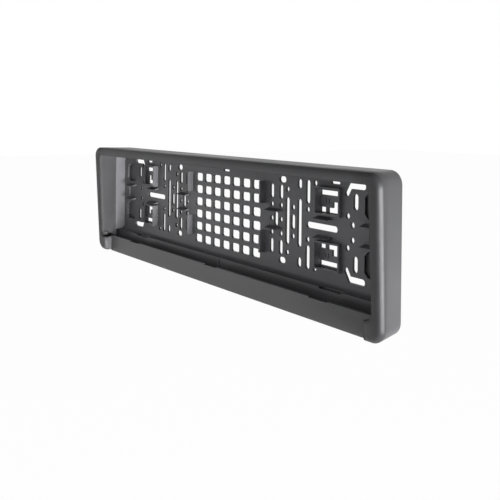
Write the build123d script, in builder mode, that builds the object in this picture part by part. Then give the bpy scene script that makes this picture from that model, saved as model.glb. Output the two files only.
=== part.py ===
import os
from math import atan2, cos, degrees, hypot, radians, tan

from build123d import *

# Number plate holder: a wide flared tray that screws to a bumper, and a strip that clips along its foot.
# X runs across the car, Y back into the car, Z up. Y = 0 is the back of the panel, Z = 0 the screw axis.

# tray shell
panel_t = 2.6
wall_t = 2.5
lip_t = 2.5
half_rear = 266.9
flare_deg = 22.0
top_z = 59.0
bottom_z = -80.6
corner_r = 12.5
rim_r = 4.0
front_y = -37.0
rim_back = 1.0
lean_deg = 3.0

# front of the shell: top lip, stiles, side lips and foot blocks
lip_w = 10.2
stile_w = 13.9
window_r = 2.5
bevel_in = 11.8
bevel_lean = 2.4
bevel_depth = 19.2
bevel_t = 2.4
bevel_gap = 5.0
block_w = 24.3
block_h = 17.6
block_r = 9.0
block_t = 2.4
block_depth = 20.0

# plate shelf: a step at the foot of the panel, with dips in its front edge and a cove behind the plate
shelf_z = -53.6
shelf_t = 2.0
shelf_depth = 8.8
dip_x = 189.4
dip_w = 32.0
dip_h = 1.4
cove_r = 6.0
rib_w = 1.6
rib_h = 1.2
rib_sunk = 0.4

# closing strip and its hooks
strip_setback = 10.2
strip_t = 2.2
strip_top_z = -60.5
strip_drop = 1.5
strip_gap = 0.5
ledge_t = 1.8
ledge_gap = 1.0
notch_x = 186.5
notch_w = 27.0
notch_d = 1.5
strip_top_r = 0.9
strip_low_r = 1.2
hook_x = (-215.0, -110.0, 0.0, 110.0, 215.0)
hook_w = 12.0
hook_t = 1.8
hook_back = 4.8
hook_play = 0.4
barb = 1.0
barb_gap = 0.3

# ventilation grid
grid_cols = 7
grid_rows = 6
grid_dx = 19.6
grid_dz = 14.4
grid_z = -4.2
grid_w = 15.3
grid_h = 9.3
grid_cut = 1.5

# screw slots
screw_x = 104.8
screw_z = 40.5
screw_l = 11.6
screw_w = 6.3
slide_x = 166.0
slide_l = 46.0
slide_w = 6.1

# adjusting slots, each family by its places, its height off the screw axis and its length
slot_w = 6.7
tall_x = (113.0, 132.4)
tall_l = 47.2
short_x = (93.9, 122.1)
short_l = 15.0
upper_x = (86.6, 102.2, 213.2)
upper_z = 27.9
upper_l = 15.0
stub_x = 132.4
stub_z = 38.2
stub_l = 9.9
side_x = 145.3
side_z = 31.5
side_l = 23.4
hang_x = 185.6
hang_z = 43.3
hang_l = 12.8
hang_w = 2.8
corner_w = 6.0
corner_x = 223.2
corner_bend_x = 206.0
corner_z = 42.2
corner_leg_x = 201.4
corner_leg_z = 34.9

# small round holes, as places on one quarter of the panel
dot_d = 5.5
dot_sides = 8
axis_dot_x = (86.6, 102.2)
dots = (
    (122.1, 14.3), (113.0, 31.4), (86.6, 14.3), (102.2, 14.3), (145.3, 14.4), (156.3, 40.6),
    (202.6, 14.4), (209.1, 6.8),
)

# plate length, and the thin walls at both ends of the panel that stop it
plate_l = 520.0
stop_gap = 0.4
stop_h = 13.5

# raised supports behind the plate
support_h = 7.0
support_t = 1.7
fin_x = 74.2
fin_z0 = 14.0
fin_z1 = 37.0
bar_x = (92.4, 171.0)
bar_end = 31.5
bar_z = 9.0
bar_l = 20.5
bar_t = 2.0

# spring boxes: outline, and the openings inside that free a tongue
box_x = 178.7
box_z = 25.4
box_w = 32.6
box_h = 26.4
box_end_h = 3.6
tongue_slot_w = 28.4
tongue_slot_h = 4.6
tongue_slot_in = 1.6
gap_w = 8.2
gap_h = 4.8
gap_in = 0.7
ell_x0 = 11.1
ell_x1 = 25.2
ell_leg_w = 7.6
ell_leg_h = 10.4
slit_x = 8.2
slit_w = 1.2
slit_h = 5.0
slit_pitch = 4.2

# corner pockets, which stand out at the back as feet, and a small pocket between each pair
pocket_end = 15.5
pocket_w = 26.2
pocket_h = 23.2
pocket_z = 25.6
pocket_cut = 4.4
foot_cut = 5.5
pocket_floor = 1.8
foot_h = 2.8
foot_wall = 1.8
mid_pocket_w = 15.0
mid_pocket_h = 12.0
mid_pocket_d = 1.2

flare = tan(radians(flare_deg))
lean = tan(radians(lean_deg))
wall_x = wall_t / cos(radians(flare_deg))
reach_y = front_y - top_z * lean - rim_r
front = Plane(origin=(0, front_y, 0), x_dir=(1, 0, 0), z_dir=(0, -1, -lean))
back = Plane.XZ
sides = (-1, 1)
quarters = [(sx, sz) for sx in sides for sz in sides]


def half_at(y):
    """Half width of the flared shell at depth y."""
    return half_rear - flare * y


def front_at(z):
    """Depth of the leaning front at height z."""
    return front_y - lean * z


def plan(y0, y1, inset):
    """Corner points of the flared plan between two depths."""
    return [
        (half_at(y0) - inset, y0), (half_at(y1) - inset, y1),
        (-half_at(y1) + inset, y1), (-half_at(y0) + inset, y0),
    ]


def flared(edge):
    """True for the edges that run back along the flared sides."""
    t = edge.tangent_at(0.5)
    return abs(t.X) > 0.1 and abs(t.Y) > 0.1


def bevel_section(z):
    """Corner points of one side lip at height z, from the stile's edge in to the lip's own edge."""
    y = front_at(z)
    x = stile_x - bevel_in + bevel_lean * (bevel_top_z - z) / (bevel_top_z - bevel_low_z)
    run = hypot(stile_x - x, bevel_y - y)
    nx = bevel_t * (bevel_y - y) / run
    ny = bevel_t * (stile_x - x) / run
    return [(stile_x, y), (x, bevel_y), (x + nx, bevel_y + ny), (stile_x + nx, y + ny)]


half_front = half_at(front_y)
stile_x = half_front - stile_w
lip_z = top_z - lip_w
bevel_y = front_y + bevel_depth
block_x = half_front - block_w
block_z = bottom_z + block_h
block_y = front_at(block_z) + lip_t
bevel_top_z = top_z - wall_t / 2
bevel_low_z = block_z + bevel_gap
floor_z = bottom_z + wall_t
step_low_z = floor_z - wall_t / 2
shelf_y = -panel_t - shelf_depth
strip_y = front_at(block_z) + strip_setback
strip_back = strip_y + strip_t
strip_low_z = bottom_z - strip_drop
ledge_back = shelf_y - rib_h - ledge_gap
hook_y = strip_back + hook_back
hook_front = hook_y - hook_t / 2
pocket_x = half_rear - pocket_end - pocket_w / 2
bar_places = (*bar_x, half_rear - bar_end)
stop_x = plate_l / 2 + stop_gap
cove_x = stop_x + support_t / 2
support_y = -panel_t - support_h
box_in_w = box_w - 2 * support_t
box_in_h = box_h - 2 * support_t
box_left = box_x - box_in_w / 2
slot_top = box_z + box_in_h / 2 - tongue_slot_in
gap_z = box_z - box_in_h / 2 + gap_in
ell_end = box_left + ell_x1
slit_left = box_left + slit_x
tongue_gaps = (
    (box_left, box_left + tongue_slot_w, slot_top - tongue_slot_h, slot_top),
    (box_left, box_left + gap_w, gap_z, gap_z + gap_h),
    (box_left + ell_x0, ell_end, gap_z, gap_z + gap_h),
    (ell_end - ell_leg_w, ell_end, gap_z, gap_z + ell_leg_h),
    (slit_left, slit_left + slit_w, box_z - slit_h / 2, box_z + slit_h / 2),
    (slit_left + slit_pitch, slit_left + slit_pitch + slit_w, box_z - slit_h / 2, box_z + slit_h / 2),
)
box_ramp = (
    (box_x - box_w / 2, support_y), (box_x + box_w / 2, support_y),
    (box_x + box_w / 2, -panel_t - box_end_h),
)
leg_l = hypot(corner_bend_x - corner_leg_x, corner_z - corner_leg_z)
leg_turn = degrees(atan2(corner_z - corner_leg_z, corner_bend_x - corner_leg_x))

# hollow of the tray, from the panel to the back of the front lips
with BuildPart() as hollow:
    with BuildSketch(Plane.XY.offset(floor_z)):
        with BuildLine():
            Polyline(*plan(-panel_t, reach_y, wall_x), close=True)
        make_face()
    extrude(amount=top_z - wall_t - floor_z)
    fillet(hollow.edges().filter_by(flared), corner_r - wall_t)
    split(bisect_by=front.offset(-lip_t), keep=Keep.BOTTOM)

# shallow bosses behind the panel, with 45 degree corners
with BuildPart() as feet:
    with BuildSketch(back):
        for sx, sz in quarters:
            with Locations((sx * pocket_x, sz * pocket_z)):
                Rectangle(pocket_w + 2 * foot_wall, pocket_h + 2 * foot_wall)
    extrude(amount=-foot_h)
    chamfer(feet.edges().filter_by(Axis.Y), foot_cut)

with BuildPart() as pockets:
    with BuildSketch(back.offset(panel_t)):
        for sx, sz in quarters:
            with Locations((sx * pocket_x, sz * pocket_z)):
                Rectangle(pocket_w, pocket_h)
    extrude(amount=pocket_floor - panel_t - foot_h)
    chamfer(pockets.edges().filter_by(Axis.Y), pocket_cut)
    with BuildSketch(back.offset(panel_t)):
        for sx in sides:
            with Locations((sx * pocket_x, 0)):
                Rectangle(mid_pocket_w, mid_pocket_h)
    extrude(amount=-mid_pocket_d)

# supports standing on the front of the panel: boxes, upright fins, short bars and end stops
with BuildPart() as supports:
    with BuildSketch(back.offset(panel_t)):
        for sx, sz in quarters:
            with Locations((sx * box_x, sz * box_z)):
                Rectangle(box_w, box_h)
                Rectangle(box_in_w, box_in_h, mode=Mode.SUBTRACT)
            with Locations((sx * fin_x, sz * (fin_z0 + fin_z1) / 2)):
                Rectangle(support_t, fin_z1 - fin_z0)
            with Locations(*[(sx * x, sz * bar_z) for x in bar_places]):
                Rectangle(bar_l, bar_t)
    extrude(amount=support_h)
    # the boxes get lower towards the panel's ends
    for sz in sides:
        with BuildSketch(Plane.XY.offset(sz * box_z - box_h / 2)):
            for sx in sides:
                with BuildLine():
                    Polyline(*[(sx * x, y) for x, y in box_ramp], close=True)
                make_face()
        extrude(amount=box_h, mode=Mode.SUBTRACT)
    # end stops, from the shelf up to the top wall
    with BuildSketch(back.offset(panel_t)):
        for sx in sides:
            with Locations((sx * (stop_x + support_t / 2), (shelf_z + top_z - wall_t) / 2)):
                Rectangle(support_t, top_z - wall_t - shelf_z)
    extrude(amount=stop_h)

# every opening that goes through the panel
with BuildPart() as openings:
    with BuildSketch(back) as vent:
        with Locations((0, grid_z)):
            with GridLocations(grid_dx, grid_dz, grid_cols, grid_rows):
                Rectangle(grid_w, grid_h)
        chamfer(vent.vertices(), grid_cut)
        with Locations((0, hang_z), (-hang_x, hang_z), (hang_x, hang_z)):
            SlotOverall(hang_l, hang_w)
        for sx in sides:
            with Locations((sx * slide_x, 0)):
                SlotOverall(slide_l, slide_w)
            with Locations(*[(sx * x, 0) for x in tall_x]):
                SlotOverall(tall_l, slot_w, rotation=90)
            with Locations(*[(sx * x, 0) for x in short_x]):
                SlotOverall(short_l, slot_w, rotation=90)
            with Locations(*[(sx * x, 0) for x in axis_dot_x]):
                RegularPolygon(dot_d / 2, dot_sides, major_radius=False)
        for sx, sz in quarters:
            with Locations((sx * screw_x, sz * screw_z)):
                SlotOverall(screw_l, screw_w)
            with Locations(*[(sx * x, sz * upper_z) for x in upper_x]):
                SlotOverall(upper_l, slot_w, rotation=90)
            with Locations((sx * stub_x, sz * stub_z)):
                SlotOverall(stub_l, slot_w, rotation=90)
            with Locations((sx * side_x, sz * side_z)):
                SlotOverall(side_l, slot_w, rotation=90)
            with Locations(*[(sx * x, sz * z) for x, z in dots]):
                RegularPolygon(dot_d / 2, dot_sides, major_radius=False)
            with Locations((sx * (corner_x + corner_bend_x) / 2, sz * corner_z)):
                SlotCenterToCenter(corner_x - corner_bend_x, corner_w)
            with Locations((sx * (corner_bend_x + corner_leg_x) / 2, sz * (corner_z + corner_leg_z) / 2)):
                SlotCenterToCenter(leg_l, corner_w, rotation=sx * sz * leg_turn)
            # inside each spring box: a slot, a small gap, an L-shaped gap and two slits free a tongue
            for x0, x1, z0, z1 in tongue_gaps:
                with Locations((sx * (x0 + x1) / 2, sz * (z0 + z1) / 2)):
                    Rectangle(x1 - x0, z1 - z0)
    extrude(amount=panel_t)

with BuildPart() as holder_frame:
    with BuildSketch(Plane.XY.offset(bottom_z)):
        with BuildLine():
            Polyline(*plan(rim_back, reach_y, 0), close=True)
        make_face()
    extrude(amount=top_z - bottom_z)
    fillet(holder_frame.edges().filter_by(flared), corner_r)
    split(bisect_by=front, keep=Keep.BOTTOM)
    fillet(holder_frame.faces().sort_by(Axis.Y)[0].edges(), rim_r)
    add(hollow.part, mode=Mode.SUBTRACT)
    # shallow hollow behind the panel, inside the rim that the walls make there
    with BuildSketch(back):
        with Locations((0, (top_z + bottom_z) / 2)):
            RectangleRounded(2 * (half_at(rim_back) - wall_x), top_z - wall_t - floor_z, corner_r - wall_t)
    extrude(amount=-rim_back, mode=Mode.SUBTRACT)
    # window for the plate, and the gap between the foot blocks that the strip closes
    with BuildSketch(front) as window:
        with Locations((0, (lip_z + block_z) / 2)):
            Rectangle(2 * stile_x, lip_z - block_z)
        fillet(window.vertices().group_by(Axis.Y)[-1], window_r)
        fillet(window.vertices().group_by(Axis.Y)[0], block_r)
        with Locations((0, (block_z + bottom_z) / 2)):
            Rectangle(2 * block_x, 2 * block_h)
    extrude(amount=-lip_t - rim_r, mode=Mode.SUBTRACT)
    with BuildSketch(Plane.XY.offset(bottom_z)):
        with Locations((0, (strip_back + reach_y) / 2)):
            Rectangle(2 * block_x, strip_back - reach_y)
    extrude(amount=block_h / 2, mode=Mode.SUBTRACT)
    # side lips that run in behind the stiles and hold the plate's ends
    for sx in sides:
        for z in (bevel_low_z, bevel_top_z):
            with BuildSketch(Plane.XY.offset(z)):
                with BuildLine():
                    Polyline(*[(sx * x, y) for x, y in bevel_section(z)], close=True)
                make_face()
        loft(ruled=True)
    # inner ends of the two foot blocks
    with BuildSketch(Plane.XY.offset(step_low_z)):
        for sx in sides:
            with Locations((sx * (block_x + block_t / 2), block_y + block_depth / 2 - lip_t / 2)):
                Rectangle(block_t, block_depth)
    extrude(amount=block_z - step_low_z)
    # step at the foot of the panel: the plate stands on its top, and its front face drops to the floor
    with BuildSketch(back.offset(-shelf_y)) as step_face:
        with Locations((0, (shelf_z + step_low_z) / 2)):
            Rectangle(2 * (half_at(shelf_y + shelf_t) - wall_x / 2), shelf_z - step_low_z)
        fillet(step_face.vertices().group_by(Axis.Y)[0], corner_r - wall_t / 2)
    extrude(amount=-shelf_t)
    with BuildSketch(Plane.XY.offset(shelf_z - shelf_t)):
        with BuildLine():
            Polyline(*plan(-panel_t / 2, shelf_y + shelf_t / 2, wall_x / 2), close=True)
        make_face()
    extrude(amount=shelf_t)
    with BuildSketch(Plane.YZ.offset(-cove_x)):
        with Locations((-panel_t, shelf_z)):
            Rectangle(cove_r, cove_r, align=(Align.MAX, Align.MIN))
        with Locations((-panel_t - cove_r, shelf_z + cove_r)):
            Circle(cove_r, mode=Mode.SUBTRACT)
    extrude(amount=2 * cove_x)
    with BuildSketch(Plane.XZ.offset(-shelf_y - shelf_t - wall_t)):
        with Locations((-dip_x, shelf_z), (dip_x, shelf_z)):
            Rectangle(dip_w, 2 * dip_h)
    extrude(amount=shelf_t + 2 * wall_t, mode=Mode.SUBTRACT)
    with BuildSketch(Plane.XY.offset(step_low_z)):
        with Locations((0, shelf_y + (rib_sunk - rib_h) / 2)):
            Rectangle(rib_w, rib_h + rib_sunk)
    extrude(amount=shelf_z - floor_z)
    add(feet.part)
    add(supports.part)
    add(openings.part, mode=Mode.SUBTRACT)
    add(pockets.part, mode=Mode.SUBTRACT)
    # slots in the floor for the strip's hooks
    with BuildSketch(Plane.XY.offset(bottom_z)):
        with Locations(*[(x, hook_y - barb / 2) for x in hook_x]):
            Rectangle(hook_w + 2 * hook_play, hook_t + barb + 2 * hook_play)
    extrude(amount=wall_t, mode=Mode.SUBTRACT)

holder_frame.part.label = "holder_frame"

with BuildPart() as closing_strip:
    with BuildSketch(Plane.YZ.offset(strip_gap - block_x)):
        with Locations((strip_y + strip_t / 2, (strip_top_z + strip_low_z) / 2)):
            Rectangle(strip_t, strip_top_z - strip_low_z)
    extrude(amount=2 * (block_x - strip_gap))
    fillet(closing_strip.edges().filter_by(Axis.X).group_by(Axis.Y)[0].sort_by(Axis.Z)[-1], strip_top_r)
    fillet(closing_strip.edges().filter_by(Axis.X).group_by(Axis.Y)[0].sort_by(Axis.Z)[0], strip_low_r)
    # ledge that lies on the tray's floor
    with BuildSketch(Plane.XY.offset(floor_z)):
        with Locations((0, (strip_y + strip_back + 2 * ledge_back) / 4)):
            Rectangle(2 * (block_x - strip_gap), ledge_back - (strip_y + strip_back) / 2)
    extrude(amount=ledge_t)
    # hooks that go down through the floor
    with BuildSketch(Plane.YZ.offset(hook_x[0] - hook_w / 2)) as hook:
        with BuildLine():
            Polyline(
                (hook_y + hook_t / 2, floor_z + ledge_t), (hook_y + hook_t / 2, strip_low_z),
                (hook_front, strip_low_z), (hook_front - barb, bottom_z - barb_gap),
                (hook_front, bottom_z - barb_gap), (hook_front, floor_z + ledge_t), close=True,
            )
        make_face()
    for x in hook_x:
        extrude(hook.sketch.moved(Location((x - hook_x[0], 0, 0))), amount=hook_w)
    # notches in the top edge
    with BuildSketch(Plane.XZ.offset(-strip_back - strip_t)):
        with Locations((-notch_x, strip_top_z), (0, strip_top_z), (notch_x, strip_top_z)):
            Rectangle(notch_w, 2 * notch_d)
    extrude(amount=3 * strip_t, mode=Mode.SUBTRACT)

closing_strip.part.label = "closing_strip"

os.makedirs("parts", exist_ok=True)
export_step(holder_frame.part, "parts/holder_frame.step")
export_step(closing_strip.part, "parts/closing_strip.step")
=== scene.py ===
"""Looks of a number plate holder: a flared black tray with a clip-on strip, in a white studio."""

import logging
import math
from dataclasses import dataclass
from enum import Enum
from functools import reduce

import bpy
from mathutils import Matrix, Vector


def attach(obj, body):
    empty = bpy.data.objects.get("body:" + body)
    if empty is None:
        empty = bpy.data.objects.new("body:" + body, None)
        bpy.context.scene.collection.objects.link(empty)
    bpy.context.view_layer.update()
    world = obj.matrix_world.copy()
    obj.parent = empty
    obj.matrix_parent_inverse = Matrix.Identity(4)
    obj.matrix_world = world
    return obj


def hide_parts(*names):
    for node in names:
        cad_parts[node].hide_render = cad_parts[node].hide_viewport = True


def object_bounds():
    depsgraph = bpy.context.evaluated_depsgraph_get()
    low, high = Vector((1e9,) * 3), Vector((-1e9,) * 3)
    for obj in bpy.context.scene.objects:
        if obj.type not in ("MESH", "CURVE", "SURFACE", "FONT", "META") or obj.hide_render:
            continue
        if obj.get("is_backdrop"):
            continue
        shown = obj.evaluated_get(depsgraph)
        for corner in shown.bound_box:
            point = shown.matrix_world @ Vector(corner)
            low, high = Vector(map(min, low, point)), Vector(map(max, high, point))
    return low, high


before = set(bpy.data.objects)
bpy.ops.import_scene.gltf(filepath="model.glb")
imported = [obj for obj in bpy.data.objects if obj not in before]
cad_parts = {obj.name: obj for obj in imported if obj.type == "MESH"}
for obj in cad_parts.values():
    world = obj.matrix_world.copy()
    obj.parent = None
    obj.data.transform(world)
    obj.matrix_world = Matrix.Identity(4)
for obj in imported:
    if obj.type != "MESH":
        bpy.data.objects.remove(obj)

log = logging.getLogger("plate_holder")
MM = 0.001
WHITE = (1.0, 1.0, 1.0, 1.0)
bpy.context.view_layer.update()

Tree = bpy.types.NodeTree
Socket = bpy.types.NodeSocket
Color = tuple[float, float, float, float]
Place = tuple[float, float, float]


class Body(Enum):
    """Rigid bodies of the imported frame."""

    ROOT = "root"


class Slot(Enum):
    """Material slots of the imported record."""

    TRAY = "black_plastic"
    STRIP = "strip_plastic"


class Sock(Enum):
    """Socket kinds of a shader node group."""

    COLOR = "NodeSocketColor"
    VALUE = "NodeSocketFloat"


class Blend(Enum):
    """Shapes of a ramp between two values."""

    LINEAR = "LINEAR"
    SMOOTH = "SMOOTHSTEP"


def link(tree: Tree, source: Socket, target: Socket) -> None:
    """Joins two sockets of one node tree.

    Args:
        tree: the node tree.
        source: the output.
        target: the input.
    """
    tree.links.new(source, target)


def feed(tree: Tree, target: Socket, value) -> None:
    """Links a socket to an input, or sets the input to a plain value.

    Args:
        tree: the node tree.
        target: the input.
        value: a socket or a plain value.
    """
    if isinstance(value, bpy.types.NodeSocket):
        link(tree, value, target)
    else:
        target.default_value = value


def compute(tree: Tree, operation: str, *values) -> Socket:
    """Adds one math node.

    Args:
        tree: the node tree that gets the node.
        operation: Blender's name of the operation.
        values: the operands, each a socket or a number.

    Returns:
        The socket with the result.
    """
    node = tree.nodes.new("ShaderNodeMath")
    node.operation = operation
    for target, value in zip(node.inputs, values):
        feed(tree, target, value)
    return node.outputs["Value"]


def product(tree: Tree, *values) -> Socket:
    """Multiplies two or more sockets or numbers.

    Args:
        tree: the node tree that gets the nodes.
        values: the factors.

    Returns:
        The socket with the result.
    """
    return reduce(lambda left, right: compute(tree, "MULTIPLY", left, right), values)


def largest(tree: Tree, *values) -> Socket:
    """Takes the largest of two or more sockets or numbers.

    Args:
        tree: the node tree that gets the nodes.
        values: the values that are compared.

    Returns:
        The socket with the result.
    """
    return reduce(lambda left, right: compute(tree, "MAXIMUM", left, right), values)


def ramp(
    tree: Tree, value: Socket, span: tuple[float, float],
    result: tuple = (0.0, 1.0), blend: Blend = Blend.LINEAR,
) -> Socket:
    """Adds a clamped ramp.

    Args:
        tree: the node tree that gets the node.
        value: the socket that is ramped.
        span: where the ramp begins and ends.
        result: what it gives before and after, each a socket or a number.
        blend: the ramp's shape.

    Returns:
        The socket with the result.
    """
    node = tree.nodes.new("ShaderNodeMapRange")
    node.interpolation_type = blend.value
    names = ("Value", "From Min", "From Max", "To Min", "To Max")
    for name, number in zip(names, (value, *span, *result)):
        feed(tree, node.inputs[name], number)
    return node.outputs["Result"]


@dataclass(frozen=True)
class TrayForm:
    """Zones of the tray's painted light: sizes in metres, and shares of painted light, which stands
    in for the lamps' light on the inside and on some outer faces.

    Each pair is where a zone's ramp begins and ends.
    """

    half_rear: float = 266.9 * MM
    flare: float = math.tan(math.radians(22.0))
    half_wall: float = 1.3 * MM
    corner_r: float = 12.5 * MM
    top: float = 59.0 * MM
    bottom: float = -80.6 * MM
    lip_back_y: float = -17.9 * MM
    # Painted shade: hole walls between these two depths keep the dark colour, apart from the left
    # pockets' walls, which get painted light.
    hole_front_y: float = -2.3 * MM
    hole_back_y: float = -0.2 * MM
    lit_pockets_x: float = -224.5 * MM
    # Painted light and shade in the trough: lighter towards its floor, darker at the shelf.
    trough_z: tuple[float, float] = (-74.0 * MM, -54.2 * MM)
    trough_light_share: tuple[float, float] = (1.81, 0.485)
    rim_y: tuple[float, float] = (-23.0 * MM, -30.0 * MM)
    # Painted light on the foot blocks.
    block_x: tuple[float, float] = (262.0 * MM, 274.0 * MM)
    block_z: float = -62.5 * MM
    block_light_share: float = 0.26
    # Painted light on the top lip's front.
    lip_x: tuple[float, float] = (246.0 * MM, 266.0 * MM)
    lip_z: tuple[float, float] = (36.0 * MM, 44.0 * MM)
    lip_light_share: float = 0.255
    # Painted light on the outer side walls, growing towards the bottom.
    side_z: tuple[float, float] = (45.0 * MM, -35.0 * MM)
    side_light_share: float = 0.16


class TrayPaintedLight:
    """Shared node group: each place's share of painted light, which stands in for lamp light on the
    tray's inside and some outer faces, and a mask of the front rim.
    """

    NAME = "tray_painted_light"

    def __init__(self, form: TrayForm) -> None:
        """Builds the group once.

        Args:
            form: the tray's zones of painted light.
        """
        self.form = form
        self.tree = tree = bpy.data.node_groups.new(self.NAME, "ShaderNodeTree")
        for name in ("Inside", "Rim"):
            tree.interface.new_socket(name=name, in_out="OUTPUT", socket_type=Sock.VALUE.value)
        coords = tree.nodes.new("ShaderNodeTexCoord")
        axes = tree.nodes.new("ShaderNodeSeparateXYZ")
        link(tree, coords.outputs["Object"], axes.inputs["Vector"])
        self.x, self.y, self.z = (axes.outputs[name] for name in "XYZ")
        self.reach = compute(tree, "ABSOLUTE", self.x)
        self.spread = compute(tree, "MULTIPLY_ADD", self.y, form.flare, self.reach)
        rim = ramp(tree, self.y, form.rim_y)
        zones = (self._painted_inside(), self._lit_blocks(), self._lit_lip(rim), self._lit_sides(rim))
        end = tree.nodes.new("NodeGroupOutput")
        link(tree, largest(tree, *zones), end.inputs["Inside"])
        link(tree, rim, end.inputs["Rim"])

    def _painted_inside(self) -> Socket:
        """Adds the painted light within the walls and behind the lips; the walls of the holes keep
        the darker colour as painted shade.

        The walls of the pockets at the left end get the painted light, while those of the pockets
        at the right end keep the painted shade.

        Returns:
            The socket with the share.
        """
        tree, form = self.tree, self.form
        deep = compute(tree, "GREATER_THAN", self.y, form.lip_back_y)
        before = compute(tree, "LESS_THAN", self.y, form.hole_front_y)
        behind = compute(tree, "GREATER_THAN", self.y, form.hole_back_y)
        # Painted light on the left pockets' walls only; the right pockets' walls keep painted
        # shade.
        left_pockets_lit = compute(tree, "LESS_THAN", self.x, form.lit_pockets_x)
        off_shaded_holes = largest(tree, before, behind, left_pockets_lit)
        return product(tree, self._within_walls(), deep, off_shaded_holes, self._painted_trough())

    def _within_walls(self) -> Socket:
        """Adds a mask of what lies within the middle of the walls, with their rounded corners.

        Returns:
            The socket with the mask.
        """
        tree, form = self.tree, self.form
        half_high = (form.top - form.bottom) / 2
        off_middle = compute(tree, "SUBTRACT", self.z, (form.top + form.bottom) / 2)
        rise = compute(tree, "ABSOLUTE", off_middle)
        aside = compute(tree, "SUBTRACT", self.spread, form.half_rear - form.corner_r)
        above = compute(tree, "SUBTRACT", rise, half_high - form.corner_r)
        aside, above = largest(tree, aside, 0.0), largest(tree, above, 0.0)
        square = compute(tree, "MULTIPLY_ADD", aside, aside, product(tree, above, above))
        return compute(tree, "LESS_THAN", square, (form.corner_r - form.half_wall) ** 2)

    def _painted_trough(self) -> Socket:
        """Adds the trough's painted light and shade below the shelf: lighter towards its floor,
        darker at the shelf.

        Returns:
            The socket with the share, which is 1 elsewhere.
        """
        tree, form = self.tree, self.form
        graded = ramp(tree, self.z, form.trough_z, form.trough_light_share)
        on_shelf = compute(tree, "GREATER_THAN", self.z, form.trough_z[1])
        at_panel = compute(tree, "GREATER_THAN", self.y, form.hole_front_y)
        plain = largest(tree, on_shelf, at_panel)
        in_trough = product(tree, graded, compute(tree, "SUBTRACT", 1.0, plain))
        return compute(tree, "ADD", in_trough, plain)

    def _lit_blocks(self) -> Socket:
        """Adds the painted light of the foot blocks.

        Returns:
            The socket with the share.
        """
        near = ramp(self.tree, self.reach, self.form.block_x, (self.form.block_light_share, 0.0))
        low = compute(self.tree, "LESS_THAN", self.z, self.form.block_z)
        return product(self.tree, near, low)

    def _lit_lip(self, rim: Socket) -> Socket:
        """Adds the painted light on the top lip's front.

        Args:
            rim: the rim's mask.

        Returns:
            The socket with the share.
        """
        near = ramp(self.tree, self.reach, self.form.lip_x, (self.form.lip_light_share, 0.0))
        high = ramp(self.tree, self.z, self.form.lip_z)
        return product(self.tree, near, high, rim)

    def _lit_sides(self, rim: Socket) -> Socket:
        """Adds the painted light on the outer side walls, which grows towards the bottom.

        Args:
            rim: the rim's mask.

        Returns:
            The socket with the share.
        """
        tree, form = self.tree, self.form
        outside = compute(tree, "GREATER_THAN", self.spread, form.half_rear - form.half_wall)
        low = ramp(tree, self.z, form.side_z, (0.0, form.side_light_share))
        return product(tree, outside, low, compute(tree, "SUBTRACT", 1.0, rim))


class MouldGrain:
    """Shared node group: the fine spark-eroded grain and faint flow marks of a moulded surface."""

    NAME = "mould_grain"
    INPUTS = (
        ("Dark", Sock.COLOR), ("Light", Sock.COLOR), ("Grain Scale", Sock.VALUE),
        ("Flow Scale", Sock.VALUE), ("Rough Low", Sock.VALUE), ("Rough High", Sock.VALUE),
    )
    OUTPUTS = (("Color", Sock.COLOR), ("Roughness", Sock.VALUE), ("Height", Sock.VALUE))
    GRAIN_LOOK = {"Detail": 3.0, "Roughness": 0.6}
    FLOW_LOOK = {"Detail": 4.0, "Distortion": 0.6}
    FLOW_STRETCH = (0.35, 1.0, 1.0)
    GRAIN_WEIGHT = 0.45
    COLOR_SPAN = (0.3, 0.7)
    ROUGH_SPAN = (0.35, 0.65)

    def __init__(self) -> None:
        """Builds the group once."""
        self.tree = bpy.data.node_groups.new(self.NAME, "ShaderNodeTree")
        for in_out, sockets in (("INPUT", self.INPUTS), ("OUTPUT", self.OUTPUTS)):
            for name, kind in sockets:
                self.tree.interface.new_socket(name=name, in_out=in_out, socket_type=kind.value)
        self._nodes()

    def _noise(self, place: Socket, scale: Socket, look: dict[str, float]) -> Socket:
        """Adds one noise.

        Args:
            place: the socket with the place.
            scale: the socket with the scale per metre.
            look: the noise's other inputs by name.

        Returns:
            The socket with the noise.
        """
        noise = self.tree.nodes.new("ShaderNodeTexNoise")
        for name, value in {"Vector": place, "Scale": scale, **look}.items():
            feed(self.tree, noise.inputs[name], value)
        return noise.outputs["Fac"]

    def _nodes(self) -> None:
        """Wires grain, flow marks and their mix to the outputs."""
        tree = self.tree
        start = tree.nodes.new("NodeGroupInput")
        end = tree.nodes.new("NodeGroupOutput")
        coords = tree.nodes.new("ShaderNodeTexCoord")
        stretch = tree.nodes.new("ShaderNodeMapping")
        stretch.inputs["Scale"].default_value = self.FLOW_STRETCH
        link(tree, coords.outputs["Object"], stretch.inputs["Vector"])
        grain = self._noise(coords.outputs["Object"], start.outputs["Grain Scale"], self.GRAIN_LOOK)
        flow = self._noise(stretch.outputs["Vector"], start.outputs["Flow Scale"], self.FLOW_LOOK)
        flow_part = product(tree, flow, 1.0 - self.GRAIN_WEIGHT)
        both = compute(tree, "MULTIPLY_ADD", grain, self.GRAIN_WEIGHT, flow_part)
        mix = tree.nodes.new("ShaderNodeMix")
        mix.data_type = "RGBA"
        link(tree, ramp(tree, both, self.COLOR_SPAN), mix.inputs["Factor"])
        link(tree, start.outputs["Dark"], mix.inputs["A"])
        link(tree, start.outputs["Light"], mix.inputs["B"])
        limits = (start.outputs["Rough Low"], start.outputs["Rough High"])
        link(tree, mix.outputs["Result"], end.inputs["Color"])
        link(tree, ramp(tree, flow, self.ROUGH_SPAN, limits), end.inputs["Roughness"])
        link(tree, grain, end.inputs["Height"])


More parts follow.
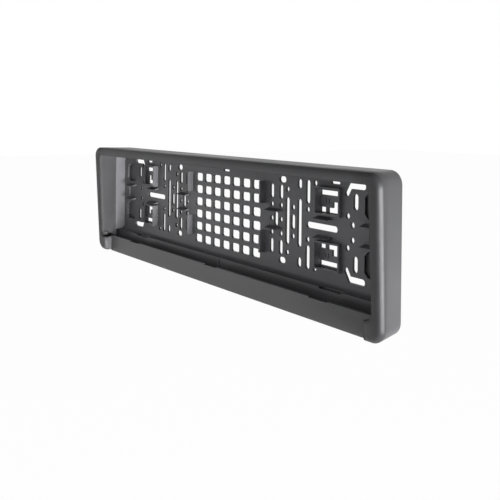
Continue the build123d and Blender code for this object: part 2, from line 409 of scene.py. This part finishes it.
@dataclass(frozen=True)
class GrainedPlastic:
    """A dyed plastic with a moulded grain, and on the tray painted light.

    Fields are linear colours, roughness limits, pattern scales per metre, and the factor by which
    painted light lightens the tray's colour.
    """

    name: str
    dark: Color
    light: Color
    rough_low: float
    rough_high: float
    grain_scale: float = 1400.0
    flow_scale: float = 22.0
    grain_depth_m: float = 0.00006
    bump_strength: float = 0.35
    specular: float = 0.3
    # How many times lighter painted light makes the colour where its share is 1.
    painted_light_gain: float = 1.0
    rim_radius_m: float = 6.5 * MM
    rim_samples: int = 8
    rim_rough: float = 0.1

    def material(self, grain: MouldGrain, zones: TrayPaintedLight | None = None) -> bpy.types.Material:
        """Makes the material.

        Args:
            grain: the shared grain group.
            zones: the tray's masks of painted light and of the rim, for the piece that has a framed
                inside.

        Returns:
            The new material.
        """
        mat = bpy.data.materials.new(self.name)
        mat.use_nodes = True
        tree = mat.node_tree
        shader = tree.nodes["Principled BSDF"]
        shader.inputs["Specular IOR Level"].default_value = self.specular
        group = tree.nodes.new("ShaderNodeGroup")
        group.node_tree = grain.tree
        group.inputs["Dark"].default_value = self.dark
        group.inputs["Light"].default_value = self.light
        group.inputs["Grain Scale"].default_value = self.grain_scale
        group.inputs["Flow Scale"].default_value = self.flow_scale
        group.inputs["Rough Low"].default_value = self.rough_low
        group.inputs["Rough High"].default_value = self.rough_high
        bump = tree.nodes.new("ShaderNodeBump")
        bump.inputs["Strength"].default_value = self.bump_strength
        bump.inputs["Distance"].default_value = self.grain_depth_m
        link(tree, group.outputs["Height"], bump.inputs["Height"])
        link(tree, bump.outputs["Normal"], shader.inputs["Normal"])
        color, rough = group.outputs["Color"], group.outputs["Roughness"]
        if zones is not None:
            masks = tree.nodes.new("ShaderNodeGroup")
            masks.node_tree = zones.tree
            # Painted light: the tray's colour is made lighter where the lamps would light it.
            color = self._with_painted_light(tree, color, masks.outputs["Inside"])
            rough = compute(tree, "MULTIPLY_ADD", masks.outputs["Rim"], self.rim_rough, rough)
            link(tree, self._soft_rim(tree, masks.outputs["Rim"]), bump.inputs["Normal"])
        link(tree, color, shader.inputs["Base Color"])
        link(tree, rough, shader.inputs["Roughness"])
        mat.diffuse_color = self.light
        return mat

    def _with_painted_light(self, tree: Tree, color: Socket, share: Socket) -> Socket:
        """Lightens a colour by its share of painted light.

        Args:
            tree: the material's node tree.
            color: the grain's colour.
            share: the share of painted light.

        Returns:
            The socket with the colour and its painted light.
        """
        lift = compute(tree, "MULTIPLY_ADD", share, self.painted_light_gain - 1.0, 1.0)
        brightened = tree.nodes.new("ShaderNodeVectorMath")
        brightened.operation = "SCALE"
        link(tree, color, brightened.inputs[0])
        link(tree, lift, brightened.inputs["Scale"])
        return brightened.outputs["Vector"]

    def _soft_rim(self, tree: Tree, rim: Socket) -> Socket:
        """Rounds the front rim softly.

        Args:
            tree: the material's node tree.
            rim: the rim's mask.

        Returns:
            The socket with the normal, which is the surface's own away from the rim.
        """
        flat = tree.nodes.new("ShaderNodeNewGeometry")
        rounded = tree.nodes.new("ShaderNodeBevel")
        rounded.samples = self.rim_samples
        rounded.inputs["Radius"].default_value = self.rim_radius_m
        mix = tree.nodes.new("ShaderNodeMix")
        mix.data_type = "VECTOR"
        vectors = [sock for sock in mix.inputs if sock.type == "VECTOR"]
        first, second = [sock for sock in vectors if sock.name in ("A", "B")]
        link(tree, rim, mix.inputs["Factor"])
        link(tree, flat.outputs["Normal"], first)
        link(tree, rounded.outputs["Normal"], second)
        return next(sock for sock in mix.outputs if sock.type == "VECTOR")


@dataclass(frozen=True)
class Pull:
    """A move of some corners of a copy: where they lie, in metres, and how far they rise.

    Corners on both sides of the middle plane are taken.
    """

    x: float
    y: float
    z: float
    rise: float
    reach: float = 0.5 * MM

    def holds(self, point: Vector) -> bool:
        """Tells whether a corner is one of those that move.

        Args:
            point: the corner's place.

        Returns:
            True for a corner within reach.
        """
        folded = Vector((abs(point.x), point.y, point.z))
        return (folded - Vector((self.x, self.y, self.z))).length < self.reach


@dataclass(frozen=True)
class Bars:
    """The short level bars of one half of the panel and the slope of their tops, in metres."""

    middles: tuple[float, ...] = (92.4 * MM, 171.0 * MM, 235.4 * MM)
    heights: tuple[float, ...] = (-9.0 * MM, 9.0 * MM)
    half_length: float = 10.25 * MM
    half_thick: float = 1.0 * MM
    panel_y: float = -2.6 * MM
    front_y: float = -9.6 * MM
    panel_rise: float = 0.4 * MM
    front_rise: float = -1.8 * MM

    def ramps(self) -> tuple[Pull, ...]:
        """Lists the moves that slope the upper faces down to their front edges.

        Returns:
            The moves of all upper corners.
        """
        moves = []
        for middle in self.middles:
            for x in (middle - self.half_length, middle + self.half_length):
                for z in (height + self.half_thick for height in self.heights):
                    moves.append(Pull(x, self.front_y, z, self.front_rise))
                    moves.append(Pull(x, self.panel_y, z, self.panel_rise))
        return tuple(moves)


@dataclass
class Moulding:
    """One moulded piece: a copy of its CAD node with its sharp edges broken."""

    node: str
    name: str
    slot: Slot
    finish: GrainedPlastic
    pulls: tuple[Pull, ...] = ()
    edge_m: float = 0.35 * MM
    edge_segments: int = 2
    edge_angle: float = math.radians(32)
    merge_m: float = 2e-6
    flat_angle: float = math.radians(0.5)
    normal_weight: int = 100

    def build(self) -> bpy.types.Object:
        """Copies the node, merges its triangles and rounds its edges.

        Returns:
            The new piece, at the origin.
        """
        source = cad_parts[self.node]
        piece = bpy.data.objects.new(self.name, source.data.copy())
        bpy.context.scene.collection.objects.link(piece)
        bpy.ops.object.select_all(action="DESELECT")
        piece.select_set(True)
        bpy.context.view_layer.objects.active = piece
        bpy.ops.object.mode_set(mode="EDIT")
        bpy.ops.mesh.select_all(action="SELECT")
        bpy.ops.mesh.remove_doubles(threshold=self.merge_m)
        bpy.ops.mesh.dissolve_limited(angle_limit=self.flat_angle)
        bpy.ops.object.mode_set(mode="OBJECT")
        for pull in self.pulls:
            self._pull(piece, pull)
        bevel = piece.modifiers.new("broken_edges", "BEVEL")
        bevel.width = self.edge_m
        bevel.segments = self.edge_segments
        bevel.limit_method = "ANGLE"
        bevel.angle_limit = self.edge_angle
        bevel.use_clamp_overlap = True
        bpy.ops.object.modifier_apply(modifier=bevel.name)
        bpy.ops.object.shade_smooth_by_angle(angle=self.edge_angle)
        flat = piece.modifiers.new("flat_faces", "WEIGHTED_NORMAL")
        flat.keep_sharp = True
        flat.weight = self.normal_weight
        bpy.ops.object.modifier_apply(modifier=flat.name)
        return piece

    @staticmethod
    def _pull(piece: bpy.types.Object, pull: Pull) -> None:
        """Selects the corners of one move and raises or lowers them.

        Args:
            piece: the copy that is being shaped.
            pull: the move.
        """
        bpy.ops.object.mode_set(mode="EDIT")
        bpy.ops.mesh.select_mode(type="VERT")
        bpy.ops.mesh.select_all(action="DESELECT")
        bpy.ops.object.mode_set(mode="OBJECT")
        taken = 0
        for vertex in piece.data.vertices:
            vertex.select = pull.holds(vertex.co)
            taken += vertex.select
        bpy.ops.object.mode_set(mode="EDIT")
        bpy.ops.transform.translate(value=(0.0, 0.0, pull.rise))
        bpy.ops.object.mode_set(mode="OBJECT")
        log.info("%s: %d corners moved by %.1f mm", piece.name, taken, pull.rise / MM)

    def dress(self, piece: bpy.types.Object, grain: MouldGrain, zones: TrayPaintedLight) -> None:
        """Gives the piece its finish and its place in the frame.

        Args:
            piece: the built piece.
            grain: the shared grain group.
            zones: the tray's masks of painted light and of the rim.
        """
        own_zones = zones if self.slot is Slot.TRAY else None
        piece.data.materials.clear()
        piece.data.materials.append(self.finish.material(grain, own_zones))
        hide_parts(self.node)
        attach(piece, Body.ROOT.value)
        log.info("%s: %d faces", piece.name, len(piece.data.polygons))


@dataclass(frozen=True)
class Lamp:
    """A soft box: where it stands, where it points, its size and its power."""

    name: str
    place: Place
    target: Place
    size: tuple[float, float]
    watts: float

    def build(self) -> bpy.types.Object:
        """Adds the lamp to the scene.

        Returns:
            The lamp.
        """
        data = bpy.data.lights.new(self.name, "AREA")
        data.shape = "RECTANGLE"
        data.size, data.size_y = self.size
        data.energy = self.watts
        lamp = bpy.data.objects.new(self.name, data)
        bpy.context.scene.collection.objects.link(lamp)
        lamp.location = self.place
        aim = Vector(self.target) - Vector(self.place)
        lamp.rotation_euler = aim.to_track_quat("-Z", "Y").to_euler()
        return lamp


@dataclass
class Studio:
    """White room, lamps and the camera at the photograph's place."""

    image_px: float = 500.0
    focal_px: float = 778.0
    axis_row_px: float = 118.3
    yaw_deg: float = 55.576
    roll_deg: float = 0.676
    eye: Place = (0.73035, -0.47210, 0.10138)
    sensor_mm: float = 36.0
    clip_start: float = 0.01
    floor_drop: float = 0.9
    floor_size: float = 40.0
    floor_color: Color = (0.85, 0.85, 0.85, 1.0)
    floor_glow: float = 0.97
    ambient: float = 0.42
    ceiling_span: tuple[float, float] = (0.25, 0.55)
    ceiling_grey: float = 0.3
    lamps: tuple[Lamp, ...] = (
        Lamp("side_box", (2.97, -0.28, -0.40), (0.0, -0.02, 0.0), (0.28, 0.9), 280.0),
        Lamp("wall_box", (2.98, 0.28, -0.44), (0.25, 0.0, 0.0), (0.5, 0.9), 80.0),
    )

    def camera(self) -> None:
        """Places the camera, level and turned as in the photograph, with its frame shifted down."""
        data = bpy.data.cameras.new("camera")
        data.sensor_width = self.sensor_mm
        data.lens = self.focal_px / self.image_px * self.sensor_mm
        data.shift_y = (self.axis_row_px - self.image_px / 2) / self.image_px
        data.clip_start = self.clip_start
        cam = bpy.data.objects.new("camera", data)
        bpy.context.scene.collection.objects.link(cam)
        yaw, roll = math.radians(self.yaw_deg), math.radians(self.roll_deg)
        level = Vector((math.cos(yaw), math.sin(yaw), 0.0))
        upright = Vector((0.0, 0.0, 1.0))
        right = level * math.cos(roll) + upright * math.sin(roll)
        up = upright * math.cos(roll) - level * math.sin(roll)
        back = right.cross(up)
        turn = Matrix((right, up, back)).transposed().to_4x4()
        cam.matrix_world = Matrix.Translation(self.eye) @ turn
        bpy.context.scene.camera = cam

    @staticmethod
    def _seen_white(tree: Tree) -> Socket:
        """Adds nodes that give 1 on camera, glossy and transmission rays.

        Args:
            tree: the world's or the floor's node tree.

        Returns:
            The socket with that value.
        """
        path = tree.nodes.new("ShaderNodeLightPath")
        rays = ("Is Camera Ray", "Is Glossy Ray", "Is Transmission Ray")
        return largest(tree, *(path.outputs[name] for name in rays))

    def _ceiling(self, tree: Tree) -> Socket:
        """Adds nodes for a room whose ceiling reflects greyer than its walls.

        Args:
            tree: the world's node tree.

        Returns:
            The socket with the strength: 1 for the camera and near the horizon, less above.
        """
        path = tree.nodes.new("ShaderNodeLightPath")
        coords = tree.nodes.new("ShaderNodeTexCoord")
        axes = tree.nodes.new("ShaderNodeSeparateXYZ")
        link(tree, coords.outputs["Generated"], axes.inputs["Vector"])
        greys = (1.0, self.ceiling_grey)
        height = ramp(tree, axes.outputs["Z"], self.ceiling_span, greys, Blend.SMOOTH)
        return largest(tree, height, path.outputs["Is Camera Ray"])

    @staticmethod
    def _mixed(tree: Tree, share: Socket, unseen: Socket, seen: Socket) -> Socket:
        """Mixes two shaders.

        Args:
            tree: the node tree.
            share: the share of the second shader.
            unseen: the first shader.
            seen: the second shader.

        Returns:
            The socket with the mix.
        """
        mix = tree.nodes.new("ShaderNodeMixShader")
        link(tree, share, mix.inputs["Fac"])
        link(tree, unseen, mix.inputs[1])
        link(tree, seen, mix.inputs[2])
        return mix.outputs["Shader"]

    def room(self) -> None:
        """Lights the room evenly and shows it white."""
        world = bpy.data.worlds.new("white_room")
        bpy.context.scene.world = world
        world.use_nodes = True
        tree = world.node_tree
        tree.nodes.clear()
        out = tree.nodes.new("ShaderNodeOutputWorld")
        seen = tree.nodes.new("ShaderNodeBackground")
        fill = tree.nodes.new("ShaderNodeBackground")
        fill.inputs["Strength"].default_value = self.ambient
        for node in (seen, fill):
            node.inputs["Color"].default_value = WHITE
        link(tree, self._ceiling(tree), seen.inputs["Strength"])
        shaders = (fill.outputs["Background"], seen.outputs["Background"])
        link(tree, self._mixed(tree, self._seen_white(tree), *shaders), out.inputs["Surface"])

    def floor(self) -> None:
        """Lays a wide pale floor below the object, which still takes its shadow."""
        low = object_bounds()[0][2]
        place = (0.0, 0.0, low - self.floor_drop)
        bpy.ops.object.select_all(action="DESELECT")
        bpy.ops.mesh.primitive_plane_add(size=self.floor_size, location=place)
        floor = bpy.context.active_object
        floor.name = "floor"
        mat = bpy.data.materials.new("floor_white")
        mat.use_nodes = True
        tree = mat.node_tree
        tree.nodes.clear()
        out = tree.nodes.new("ShaderNodeOutputMaterial")
        matt = tree.nodes.new("ShaderNodeBsdfDiffuse")
        matt.inputs["Color"].default_value = self.floor_color
        glow = tree.nodes.new("ShaderNodeEmission")
        glow.inputs["Color"].default_value = WHITE
        share = product(tree, self._seen_white(tree), self.floor_glow)
        shaders = (matt.outputs["BSDF"], glow.outputs["Emission"])
        link(tree, self._mixed(tree, share, *shaders), out.inputs["Surface"])
        floor.data.materials.append(mat)
        floor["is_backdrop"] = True

    def build(self) -> None:
        """Sets up camera, room, floor and lamps."""
        bpy.context.scene.view_settings.view_transform = "Standard"
        self.camera()
        self.room()
        self.floor()
        for lamp in self.lamps:
            lamp.build()


# The tray's dark colour; painted light makes its inside 4.4 times lighter, and more in the trough.
BLACK = GrainedPlastic(
    "black_grained", (0.016, 0.016, 0.0172, 1.0), (0.024, 0.024, 0.0256, 1.0),
    rough_low=0.32, rough_high=0.40, painted_light_gain=4.4,
)
STRIP_BLACK = GrainedPlastic(
    "strip_grained", (0.050, 0.050, 0.052, 1.0), (0.074, 0.074, 0.077, 1.0),
    rough_low=0.32, rough_high=0.40,
)


def main() -> None:
    """Builds and dresses every piece, then the studio."""
    logging.basicConfig(level=logging.INFO)
    grain = MouldGrain()
    zones = TrayPaintedLight(TrayForm())
    pieces = (
        Moulding("holder_frame", "holder_tray", Slot.TRAY, BLACK, pulls=Bars().ramps()),
        Moulding("closing_strip", "foot_strip", Slot.STRIP, STRIP_BLACK),
    )
    for moulding in pieces:
        moulding.dress(moulding.build(), grain, zones)
    Studio().build()


if __name__ == "__main__":
    main()
